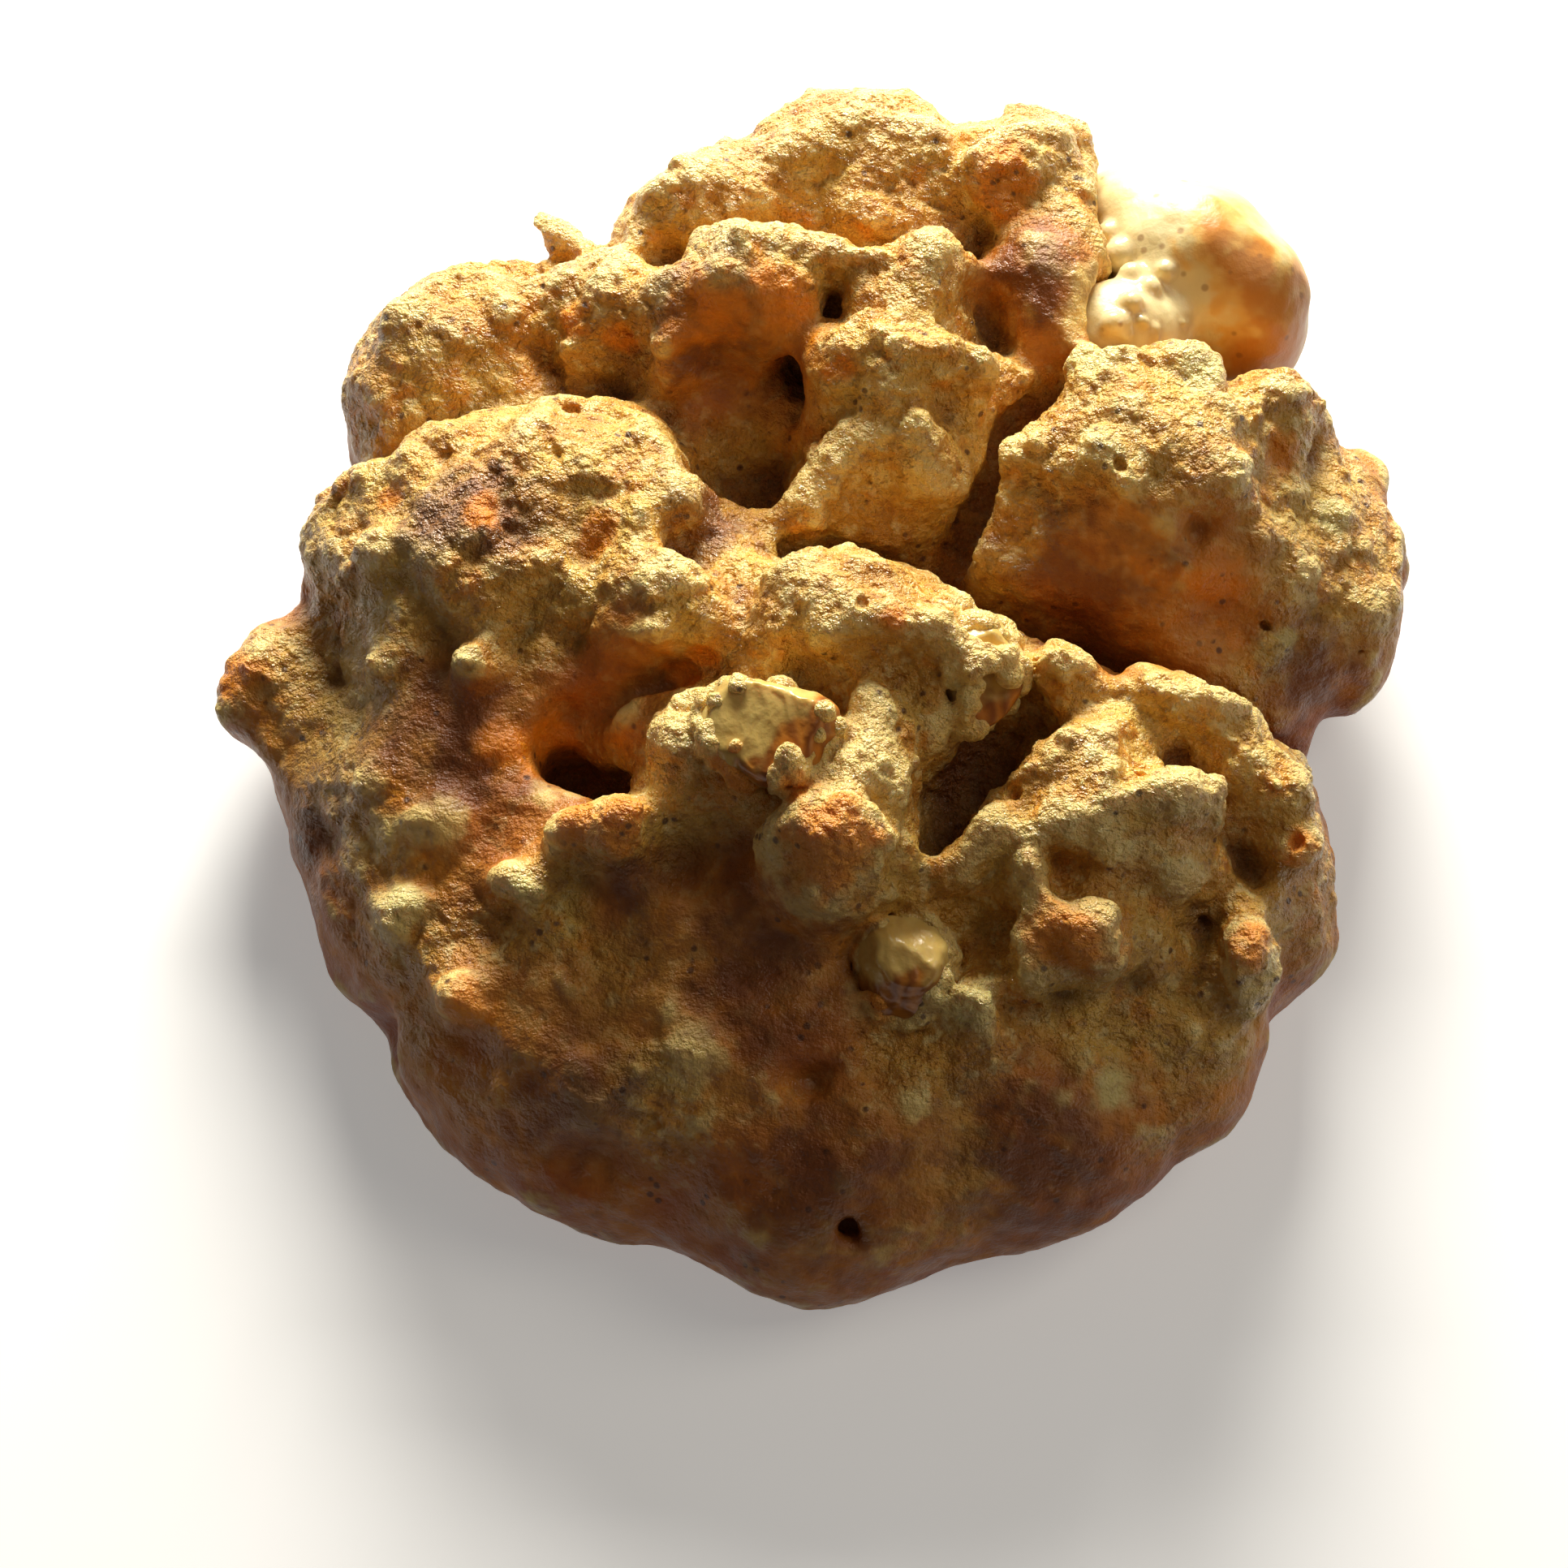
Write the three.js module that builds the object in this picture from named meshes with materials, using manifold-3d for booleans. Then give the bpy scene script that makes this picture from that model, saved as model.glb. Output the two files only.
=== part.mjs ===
// A walnut cookie: a hand-dropped mound of soft dough, smooth and browned round its sides, torn into
// crags and clefts on top, with walnut pieces and one pale half-melted chunk showing in it.
//
// Millimetres, +Z up, the flat underside on Z = 0 and the origin in its middle. +X is the right of the
// picture and +Y its top.
//
// The dough is one distance field: a low mound with an uneven footprint, lumps blended on to it, clefts
// and pits cut into it, and noise for the crumb. The field is meshed by surface nets, then cut flat
// below and hollowed round each piece that sits in it.
import * as THREE from "three";
import { ImprovedNoise } from "three/addons/math/ImprovedNoise.js";
import { MeshoptSimplifier } from "three/addons/libs/meshopt_simplifier.module.js";
import Module from "manifold-3d";

const wasm = await Module();
wasm.setup();
await MeshoptSimplifier.ready;

const Z_AXIS = new THREE.Vector3(0, 0, 1);

// ---------------------------------------------------------------- driving dimensions, in millimetres
const MOUND_TOP = 19; // height of the mound under the lumps
const BELLY_HEIGHT = 4.5; // where the mound is widest
const FOOT_INSET = 0.07; // share of the radius that the foot draws in
const FOOT_DEPTH = 2; // how far the field runs below the cut at Z = 0
const CELL = 1; // mesh step of the dough
const PIECE_CELL = 0.6; // mesh step of the pieces in it
const GAP = 0.3; // air round each piece in its pocket
const FILLED = 0.05; // depth given to a grid corner that is filled to keep the surface whole
const DOUGH_TRIANGLES = 9400;
const CRUMB = [
  { scale: 9, depth: 0.6 },
  { scale: 4.2, depth: 0.55 },
  { scale: 2.4, depth: 0.35 },
];
const CLUMPS = [
  { scale: 4.8, depth: 1.9 },
  { scale: 2.6, depth: 0.9 },
]; // the torn top breaks into clumps of about these sizes
const SKIN_FADE = 0.5; // a skin fades out from its middle over this share of its size
const SMOOTH_BELOW = 8; // the sides are smooth up to here
const TORN_ABOVE = 19; // and the crumb is fully torn from here up

// The cookie is drawn as it is seen by an eye 65 degrees above the horizon and 250 away. Places are given
// as across, to the right, and rise, up the picture, measured on a plane through its middle, with the
// true height z.
const VIEW_ANGLE = THREE.MathUtils.degToRad(65);
const VIEW_DISTANCE = 250;
const VIEW_MIDDLE = new THREE.Vector3(0, 0, 14); // across 0, rise 0
const VIEW_UP = new THREE.Vector3(0, Math.sin(VIEW_ANGLE), Math.cos(VIEW_ANGLE));
const EYE_ASIDE = -2.1; // the eye looks this far to the right of the middle
const EYE_ABOVE = -5.8; // and this far above it
const EYE = VIEW_MIDDLE.clone()
  .add(new THREE.Vector3(EYE_ASIDE, 0, 0))
  .addScaledVector(VIEW_UP, EYE_ABOVE)
  .addScaledVector(new THREE.Vector3(0, -Math.cos(VIEW_ANGLE), Math.sin(VIEW_ANGLE)), VIEW_DISTANCE);

function seen(across, rise, z) {
  const onPicture = VIEW_MIDDLE.clone().add(new THREE.Vector3(across, 0, 0)).addScaledVector(VIEW_UP, rise);
  const share = (z - EYE.z) / (onPicture.z - EYE.z);
  return EYE.clone().lerp(onPicture, share);
}

// ---------------------------------------------------------------- the field's building blocks

function blendedMin(a, b, blend) {
  const overlap = Math.max(blend - Math.abs(a - b), 0) / blend;
  return Math.min(a, b) - (overlap * overlap * blend) / 4;
}

function blendedMax(a, b, blend) {
  return -blendedMin(-a, -b, blend);
}

// An ellipsoid, turned about Z.
class Lump {
  constructor(name, across, rise, z, halfSizes, turn = 0) {
    this.name = name;
    this.centre = seen(across, rise, z);
    this.halfSizes = new THREE.Vector3(...halfSizes);
    this.turn = THREE.MathUtils.degToRad(turn);
    this.reach = Math.max(...halfSizes);
    this.local = new THREE.Vector3();
  }

  // 0 in the middle, 1 on the surface.
  level(point) {
    this.local.copy(point).sub(this.centre).applyAxisAngle(Z_AXIS, -this.turn);
    return this.local.divide(this.halfSizes).length();
  }

  distance(point) {
    const level = this.level(point);
    const slope = this.local.divide(this.halfSizes).length();
    return slope < 1e-9 ? -this.reach : (level * (level - 1)) / slope;
  }

  isFar(point, blend) {
    return point.distanceTo(this.centre) > this.reach + blend + 2;
  }
}

// A crack open to the sky: a slot along a line of places on its rim, each with its depth there.
class Cleft {
  constructor(name, halfWidth, ...places) {
    this.name = name;
    this.halfWidth = halfWidth;
    this.floor = places.map(([across, rise, z, depth]) => {
      const point = seen(across, rise, z);
      point.z -= depth - halfWidth;
      return point;
    });
  }

  distance(point) {
    let nearest = Infinity;
    for (let i = 0; i + 1 < this.floor.length; i++) {
      const [a, b] = [this.floor[i], this.floor[i + 1]];
      const [runX, runY] = [b.x - a.x, b.y - a.y];
      const along = ((point.x - a.x) * runX + (point.y - a.y) * runY) / (runX * runX + runY * runY);
      const share = Math.min(Math.max(along, 0), 1);
      const aside = Math.hypot(point.x - a.x - share * runX, point.y - a.y - share * runY);
      const below = Math.max(a.z + share * (b.z - a.z) - point.z, 0);
      nearest = Math.min(nearest, Math.hypot(aside, below));
    }
    return nearest - this.halfWidth;
  }

  isFar() {
    return false;
  }
}

// ---------------------------------------------------------------- the mound

// How far the cookie's foot reaches from its middle, every 15 degrees from +X anticlockwise.
const REACH = [
  34, 36, 37, 37, 38, 39, 39, 38, 37, 36.5, 37, 37.5,
  37, 36.5, 36, 37.5, 38, 36.5, 39, 37.3, 39, 36.2, 35.8, 36,
];

function footReach(angle) {
  const place = (THREE.MathUtils.euclideanModulo(angle, 2 * Math.PI) / (2 * Math.PI)) * REACH.length;
  const first = Math.floor(place);
  const share = THREE.MathUtils.smoothstep(place - first, 0, 1);
  return THREE.MathUtils.lerp(REACH[first % REACH.length], REACH[(first + 1) % REACH.length], share);
}

// Under 1 inside the mound, 1 on it, over 1 outside.
function moundLevel(x, y, z) {
  const out = Math.hypot(x, y) / footReach(Math.atan2(y, x));
  if (z < BELLY_HEIGHT) {
    const down = (BELLY_HEIGHT - z) / BELLY_HEIGHT;
    return out + FOOT_INSET * down * down;
  }
  const up = (z - BELLY_HEIGHT) / (MOUND_TOP - BELLY_HEIGHT);
  return Math.pow(Math.pow(out, 2.6) + Math.pow(up, 2.2), 0.42);
}

function moundDistance(p) {
  const step = 0.2;
  const level = moundLevel(p.x, p.y, p.z);
  const slopeX = (moundLevel(p.x + step, p.y, p.z) - level) / step;
  const slopeY = (moundLevel(p.x, p.y + step, p.z) - level) / step;
  const slopeZ = (moundLevel(p.x, p.y, p.z + step) - level) / step;
  return (level - 1) / Math.max(Math.hypot(slopeX, slopeY, slopeZ), 0.02);
}

// ---------------------------------------------------------------- what stands on the mound

// Name, across, rise, z, [half width, half depth, half height], turn in degrees.
const MASSES = [
  new Lump("heart", 0, -2, 11, [20, 19, 10.5]),
  new Lump("north ridge", 4, 32, 13, [15, 7.5, 9], -3),
  new Lump("east boulder", 22, 13, 15, [11, 10, 11], -8),
  new Lump("west boulder", -20, 8, 12.5, [12.5, 11, 10.5], 8),
  new Lump("south-east lobe", 20.5, -11, 11, [12, 10.5, 9], -25),
  new Lump("crumb crag", 5, 20, 15, [6.5, 11, 9.5]),
];

const LUMPS = [
  new Lump("north crown", 4, 34, 14, [8, 6.5, 8]),
  new Lump("north ridge east", 13.5, 32.5, 13.5, [6, 7, 9]),
  new Lump("north ridge west", -7.5, 30.5, 14, [7, 5.5, 7.5], 8),
  new Lump("north ridge's west toe", -11, 29.5, 13, [3, 3.6, 6]),
  new Lump("north slope", 15.5, 25.5, 13.5, [5.4, 9, 9]),
  new Lump("bed of the chunk", 22, 26, 9.5, [8, 7.5, 8]),
  new Lump("brown crag", -4, 25, 17, [7, 5.5, 9], 4),
  new Lump("brown crag's shoulder", -9.5, 23.5, 16, [4, 5.5, 7.5]),
  new Lump("crumb crag's top", 6.8, 26.4, 18, [4.6, 3.4, 8]),
  new Lump("crumb crag's middle", 5.4, 21, 20, [4.8, 4.2, 7.6]),
  new Lump("crumb crag's neck", 6.2, 24, 19, [4.6, 3.6, 7.2]),
  new Lump("crumb crag's left lump", 1.8, 20.5, 19, [3, 3.4, 6.2]),
  new Lump("crumb crag's right lump", 9.8, 20, 18, [3.2, 3.8, 7], 20),
  new Lump("crumb crag's foot", 2.2, 14.6, 17.4, [3.4, 3.2, 6]),
  new Lump("crumb crag's broad foot", 7.6, 14.6, 18, [3.8, 3.4, 6.5]),
  new Lump("crumb crag's last lump", 10.6, 11.8, 15, [2.8, 2.4, 6]),
  new Lump("east boulder's left shoulder", 14.4, 14, 16, [3.6, 5, 7.5]),
  new Lump("east boulder's brow", 18.4, 18.6, 18.5, [4, 4, 6.5]),
  new Lump("east boulder's crest", 23.5, 20, 18.5, [4.4, 3.6, 6]),
  new Lump("east boulder's corner", 30, 17, 14.5, [4.6, 4.8, 8]),
  new Lump("east boulder's apron", 28, 8.6, 14.5, [6, 5, 7], -20),
  new Lump("east boulder's foot", 31, 2.6, 9.5, [4.4, 5, 6.5], -20),
  new Lump("east lobe", 35, 8, 8.5, [4.2, 10.2, 6.2], 3),
  new Lump("east lobe's root", 32.6, 10.6, 9.5, [3.8, 8.4, 7.4], 3),
  new Lump("north-west shelf", -22, 21.5, 9.5, [10, 8, 8.5], 18),
  new Lump("north-west corner", -27, 18.5, 8.5, [4.8, 7, 7.5]),
  new Lump("north-west knoll", -14, 25, 15, [5, 4.6, 6], 10),
  new Lump("west boulder's crown", -15.6, 14.6, 17, [6.6, 5, 6.5], 5),
  new Lump("west boulder's brow", -24.5, 13.6, 15, [6, 5, 6.5], 20),
  new Lump("west boulder's cheek", -29.8, 8.5, 11, [4.6, 8, 7]),
  new Lump("west boulder's right shoulder", -11, 10.6, 18, [4.2, 5, 6.5]),
  new Lump("west boulder's skirt", -23, -5, 11, [9, 9, 7]),
  new Lump("west rim", -35.2, 0, 7, [4, 5.6, 5], 15),
  new Lump("bridge to the centre", -9.5, 5.2, 19, [7, 4.4, 6], -6),
  new Lump("centre crest", 3, 3.6, 20.5, [9, 5, 8], -15),
  new Lump("centre crest's right end", 9.8, 0.4, 20, [4, 4.6, 7.2], -35),
  new Lump("front terrace", -4.6, -5.4, 19.6, [7.4, 4.6, 6.6], 4),
  new Lump("front terrace's left end", -9, -5.6, 18.2, [3, 4, 7]),
  new Lump("front knob", 1.4, -10.8, 20.2, [5.8, 4.4, 6.4]),
  new Lump("front knob's back", 2, -6.8, 20.4, [5, 4, 5.6]),
  new Lump("front face", -5, -14.5, 11.6, [8.4, 7.5, 8.4]),
  new Lump("middle bank", 5, -3.6, 18.6, [4, 5, 6.4]),
  new Lump("ledge", -13.6, -10.4, 18.2, [4.6, 3.4, 5.6], 4),
  new Lump("lower ledge", -14.2, -15.8, 13.6, [4, 2.6, 4.6]),
  new Lump("first crumb peak", 15.6, 0.4, 20, [3.4, 2.8, 5.2]),
  new Lump("second crumb peak", 23.2, -1, 18.4, [4.6, 2.8, 5], -22),
  new Lump("third crumb peak", 27.8, -2.8, 16.4, [2.8, 2.4, 4.6], -40),
  new Lump("east bank", 16.6, -4, 18.4, [5, 4.6, 6], -20),
  new Lump("long rib", 28, -6, 15.5, [8, 2.8, 5.2], -46),
  new Lump("pale end of the lobe", 30.4, -6.6, 10, [3.2, 3.2, 6]),
  new Lump("yellow knoll", 18, -8.4, 19.2, [4.8, 3.4, 5.2]),
  new Lump("grey knoll", 23.4, -8.6, 18.8, [4, 4, 5]),
  new Lump("valley's right bank", 14.4, -6.4, 18.6, [3.4, 3.4, 5]),
  new Lump("inner bank", 10.8, -10.4, 18, [3.4, 3.4, 5.8], 10),
  new Lump("inner bank's right end", 14, -13, 17.4, [3.4, 2.8, 5]),
  new Lump("orange belly's back", 18.2, -15, 17.4, [5, 3, 5], -8),
  new Lump("east shelf", 25.4, -15.4, 14.8, [3, 2.8, 4]),
  new Lump("south-east shoulder", 30.8, -13, 7.5, [4, 7, 6], 8),
  new Lump("south-east skirt", 21, -22.5, 7.5, [9, 8, 6.5], -30),
  new Lump("south skirt", 2, -27, 8, [15, 8, 7]),
  new Lump("south-west skirt", -15, -23, 8, [10, 8, 7], -20),
];

const CLEFTS = [
  new Cleft("behind the brown crag", 0.8, [-11, 30, 20, 4], [-4, 32.8, 23, 5], [3, 31.8, 23, 5]),
  new Cleft("right of the brown crag", 0.7, [1.6, 26.8, 22, 4.4], [-0.6, 23, 20, 3]),
  new Cleft("hollow before the crag", 3, [-6, 18, 20, 4.5], [-3.8, 14.6, 18, 4.5]),
  new Cleft("right of the crumb crag", 1.1, [17, 22.5, 21, 3], [13.4, 20, 21, 5], [12, 16, 21, 6], [9, 10.5, 19, 7]),
  new Cleft("great cleft", 1.3, [-2, 10.4, 19, 3], [5, 10.4, 20, 6], [8, 9.6, 20, 8], [11, 7.4, 19, 8],
    [14, 5.6, 18, 8], [19, 4, 17, 8], [25, 1.2, 16, 8], [29.5, -1.8, 13, 8], [34, -4, 9, 8]),
  new Cleft("deep pit", 2.1, [-16.4, -3.6, 17, 7], [-14, -5, 18, 8]),
  new Cleft("under the bridge", 0.8, [-17, -1.5, 18, 3], [-12, 1, 20, 3], [-7.5, 2.8, 22, 2.4]),
  new Cleft("centre valley", 2.2, [13.8, -0.6, 22, 3.4], [11, -4.4, 20, 4.4], [8.4, -8, 19, 3]),
  new Cleft("behind the grey knoll", 0.5, [24, -5.2, 20, 0.8], [27.4, -7.8, 18.6, 1.4], [29.4, -11.6, 15.6, 1.6]),
  new Cleft("between the knolls", 0.5, [20.9, -7, 23, 1.6], [21.2, -10, 22.6, 2.2], [22.4, -13.4, 20.6, 2.4]),
  new Cleft("under the knolls", 0.6, [15.4, -11, 22.6, 2], [18.8, -12.2, 22, 2.8], [24.6, -12.6, 20.4, 2.4]),
  new Cleft("right of the inner bank", 0.6, [12.8, -8.4, 22.4, 1.6], [12.2, -12, 22, 2], [14.6, -15.8, 19.6, 1.8]),
  new Cleft("west notch", 1, [-33, -23.5, 2, 4], [-28.5, -22.4, 6, 2.4]),
];

const KNOBS = [
  new Lump("orange brow", 12.8, 34.4, 20.4, [3.6, 2.4, 3], -10),
  new Lump("crumb crag's sliver", 8.4, 25, 24.8, [2.2, 0.8, 1.4], -60),
  new Lump("crag's lip", 1.2, 30.2, 24.4, [2.8, 1.4, 1.1], -8),
  new Lump("boulder's upper tuft", 29, 11.6, 20, [3.2, 2.2, 2.4], -15),
  new Lump("boulder's lower tuft", 27.4, 8.6, 18.8, [4.2, 1.6, 1.7], -12),
  new Lump("boulder's pale bump", 31, 3.6, 14.6, [2.2, 2, 1.8]),
  new Lump("lobe scallop high", 36, 14, 8.4, [2.6, 3, 3.2]),
  new Lump("lobe scallop mid", 38.6, 8.2, 8, [1.4, 1.8, 2.6]),
  new Lump("lobe ridge", 36.4, 10.6, 14.6, [2.6, 0.8, 1.2], -45),
  new Lump("north-west flake", -17.2, 30.6, 14, [3.4, 1.6, 1.3], -40),
  new Lump("north-west flake's root", -14.8, 28.4, 14, [3, 2, 2.4], -40),
  new Lump("rim nub", -38.2, -0.2, 8, [1.8, 2.6, 3]),
  new Lump("west bead", -23.4, 2.4, 19.8, [2.2, 1.3, 1.4], -10),
  new Lump("west bead's ridge", -28, 2.8, 17.4, [3.2, 1.4, 1.8], 15),
  new Lump("low bead", -19.8, -12.8, 16.4, [2.2, 1.8, 2.4]),
  new Lump("lower bead", -27.4, -14.1, 12.6, [2.6, 1.9, 2]),
  new Lump("tan nub", -23.4, -20.6, 12, [2.8, 2.3, 3]),
  new Lump("orange belly", 17, -16.6, 18.4, [4, 2.8, 4]),
  new Lump("finger", 28.9, -17.4, 13.4, [2.2, 4.4, 4.4], -4),
  new Lump("torn crumb", 10.2, -20.8, 15.4, [2.8, 3.6, 3.6], 20),
  new Lump("yellow wart", 19.8, -26.1, 11.6, [2, 1.7, 1.8]),
  new Lump("pale sliver", 8.1, -10.6, 21, [1.6, 0.7, 1.1], 15),
];

const PITS = [
  new Lump("crag's dimple", -5.4, 23.6, 23.4, [1.9, 1.7, 2.4]),
  new Lump("boulder's hole", 25.8, 11.6, 23, [0.6, 1.3, 2.6], -24),
  new Lump("hole behind the peak", 19.6, 2, 19, [1.2, 1.2, 3]),
  new Lump("south crack", 4.8, -27, 14.4, [0.7, 1.9, 1.6], 30),
  new Lump("south slit", -0.8, -25.3, 15.4, [1.8, 0.6, 1.5]),
  new Lump("low slit", 3, -35.4, 8.6, [2.4, 0.6, 1.6]),
  new Lump("low pit", -1.4, -35.8, 8, [0.9, 0.9, 1.6]),
  new Lump("shallow pan", -16, -32, 11, [3.4, 2.6, 2]),
  new Lump("west pore", -33, -9.4, 11.4, [1.2, 1.6, 1.6]),
  new Lump("finger's gap", 26.4, -16, 16, [1.1, 2.4, 2.4], -6),
];

// Where the dough baked to a smooth skin and didn't tear.
const SKINS = [
  new Lump("west face", -22, -5, 18, [9, 11, 9]),
  new Lump("bridge's face", -13, 1.6, 20, [7, 4, 5]),
  new Lump("brown crag's face", -5, 22, 22, [6, 6, 8]),
  new Lump("east boulder's face", 22, 6, 18, [11, 7, 8]),
  new Lump("south face", -4, -17, 16, [11, 8, 8]),
  new Lump("north slope", 16, 28, 22, [5, 8, 6]),
];

const STAGES = [
  { shapes: MASSES, blend: 4, cuts: false },
  { shapes: LUMPS, blend: 1.4, cuts: false },
  { shapes: CLEFTS, blend: 1.4, cuts: true },
  { shapes: KNOBS, blend: 0.9, cuts: false },
  { shapes: PITS, blend: 0.9, cuts: true },
];
const SKIN_ZONE = 4; // the crumb is worked out only this near the surface

function doughDistance(p) {
  let distance = moundDistance(p);
  for (const { shapes, blend, cuts } of STAGES)
    for (const shape of shapes) {
      if (shape.isFar(p, blend)) continue;
      const own = shape.distance(p);
      distance = cuts ? blendedMax(distance, -own, blend) : blendedMin(distance, own, blend);
    }
  if (Math.abs(distance) < SKIN_ZONE) distance += crumb(p) + clumps(p);
  return Math.max(distance, -FOOT_DEPTH - p.z);
}

const noise = new ImprovedNoise();

function crumb(p) {
  let sum = 0;
  for (const { scale, depth } of CRUMB) sum += depth * noise.noise(p.x / scale, p.y / scale, p.z / scale + scale);
  return sum;
}

function clumps(p) {
  let torn = THREE.MathUtils.smoothstep(p.z, SMOOTH_BELOW, TORN_ABOVE);
  for (const skin of SKINS) torn *= THREE.MathUtils.smoothstep(skin.level(p), 1 - SKIN_FADE, 1);
  if (torn === 0) return 0;
  return CLUMPS.reduce((sum, { scale, depth }) => sum + torn * depth * clump(p, scale), 0);
}

// Clumps are round about scattered centres, with creases where two meet.
function clump(p, scale) {
  const place = [p.x / scale, p.y / scale, p.z / scale];
  const first = place.map(Math.floor);
  let nearest = Infinity;
  for (let i = -1; i <= 1; i++)
    for (let j = -1; j <= 1; j++)
      for (let k = -1; k <= 1; k++) {
        const cell = [first[0] + i, first[1] + j, first[2] + k];
        const apart = cell.map((c, axis) => c + scatter(cell, axis) - place[axis]);
        nearest = Math.min(nearest, Math.hypot(...apart));
      }
  return Math.min(nearest, 1) ** 2 - 0.25;
}

// A repeatable number from 0 to 1 for each cell and axis.
function scatter([i, j, k], axis) {
  const wave = Math.sin(i * 127.1 + j * 311.7 + k * 74.7 + axis * 53.3) * 43758.5453;
  return wave - Math.floor(wave);
}

// ---------------------------------------------------------------- the pieces in the dough

// A broken piece of nut: a lump cut by flat faces.
function nutField(lump, faces) {
  const cuts = faces.map(([x, y, z, share]) => {
    const normal = new THREE.Vector3(x, y, z).normalize();
    const reach = normal.clone().multiply(lump.halfSizes).length();
    return { normal, offset: normal.dot(lump.centre) + share * reach };
  });
  return (p) => {
    let distance = lump.distance(p);
    for (const { normal, offset } of cuts) distance = blendedMax(distance, normal.dot(p) - offset, 0.5);
    return distance + 0.25 * noise.noise(p.x / 1.8, p.y / 1.8, p.z / 1.8);
  };
}

function meltedField(lumps) {
  return (p) => {
    const distance = lumps.reduce((nearest, lump) => blendedMin(nearest, lump.distance(p), 2.4), 99);
    return distance + 0.4 * noise.noise(p.x / 3, p.y / 3, p.z / 3);
  };
}

const CHUNK_LUMPS = [
  new Lump("body", 25, 28, 13, [7.2, 6.2, 7.4], -30),
  new Lump("right cheek", 29.4, 25.2, 12, [3.5, 4.6, 6.6], -10),
  new Lump("left top", 20.6, 31, 11.6, [4, 4, 6]),
  new Lump("melted tongue", 20, 24.2, 16.6, [4.6, 3.4, 3.6], 20),
];
const CREST_NUT = new Lump("walnut at the crest", 10.9, 1.7, 22.9, [2.8, 4, 3.5], -28);
const MIDDLE_NUT = new Lump("walnut in the middle", -3, -2.2, 25.6, [5, 3.4, 3.3], -24);
const SOUTH_NUT = new Lump("walnut in the south", 6, -18.2, 17, [3.2, 3.4, 4], -15);

const PIECES = {
  pale_chunk: {
    field: meltedField(CHUNK_LUMPS),
    centre: seen(25.5, 27, 13.5),
    reach: 13,
    colour: 0xd9c48b,
    triangles: 1300,
  },
  walnut_crest: {
    field: nutField(CREST_NUT, [[0.4, -0.7, 0.6, 0.7], [-0.8, -0.3, 0.5, 0.75], [0.9, 0.4, 0.5, 0.8], [0, 0.3, 1, 0.75]]),
    centre: CREST_NUT.centre,
    reach: 7,
    colour: 0xc9a85c,
    triangles: 320,
  },
  walnut_middle: {
    field: nutField(MIDDLE_NUT, [[-0.3, -0.4, 1, 0.6], [0.8, -0.6, 0.5, 0.75], [-0.8, 0.2, 0.5, 0.8], [0.2, 0.8, 0.6, 0.75]]),
    centre: MIDDLE_NUT.centre,
    reach: 8,
    colour: 0xb9923f,
    triangles: 380,
  },
  walnut_south: {
    field: nutField(SOUTH_NUT, [[0.2, 0.5, 1, 0.7], [-0.9, -0.3, 0.4, 0.75], [0.9, -0.4, 0.3, 0.8], [0, -1, 0.4, 0.75]]),
    centre: SOUTH_NUT.centre,
    reach: 7,
    colour: 0xd8ae5a,
    triangles: 320,
  },
};

// ---------------------------------------------------------------- meshing

// Surface nets: one vertex in each cell that the surface crosses, one quad for each grid edge it crosses.
function surfaceNets(field, low, high, cell) {
  const count = [0, 1, 2].map((axis) => Math.ceil((high[axis] - low[axis]) / cell) + 1);
  const index = (i, j, k) => i + count[0] * (j + count[1] * k);
  const values = new Float32Array(count[0] * count[1] * count[2]);
  const point = new THREE.Vector3();
  for (let k = 0; k < count[2]; k++)
    for (let j = 0; j < count[1]; j++)
      for (let i = 0; i < count[0]; i++) {
        point.set(low[0] + i * cell, low[1] + j * cell, low[2] + k * cell);
        values[index(i, j, k)] = field(point);
      }
  fillPinches(values, index, count);

  const positions = [];
  const vertexOf = new Map();
  const vertexIn = (i, j, k) => {
    const key = index(i, j, k);
    if (!vertexOf.has(key)) {
      vertexOf.set(key, positions.length / 3);
      positions.push(...crossingMean(values, index, [i, j, k]).map((g, axis) => low[axis] + g * cell));
    }
    return vertexOf.get(key);
  };

  const triangles = [];
  for (let k = 1; k + 1 < count[2]; k++)
    for (let j = 1; j + 1 < count[1]; j++)
      for (let i = 1; i + 1 < count[0]; i++)
        for (let axis = 0; axis < 3; axis++) {
          const ahead = [i, j, k];
          ahead[axis] += 1;
          const here = values[index(i, j, k)] < 0;
          if (here === values[index(...ahead)] < 0) continue;
          const corners = [[0, 0], [-1, 0], [-1, -1], [0, -1]].map(([s, t]) => {
            const place = [i, j, k];
            place[(axis + 1) % 3] += s;
            place[(axis + 2) % 3] += t;
            return vertexIn(...place);
          });
          if (!here) corners.reverse();
          triangles.push(corners[0], corners[1], corners[2], corners[0], corners[2], corners[3]);
        }
  return { positions: new Float32Array(positions), triangles: new Uint32Array(triangles) };
}

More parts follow.
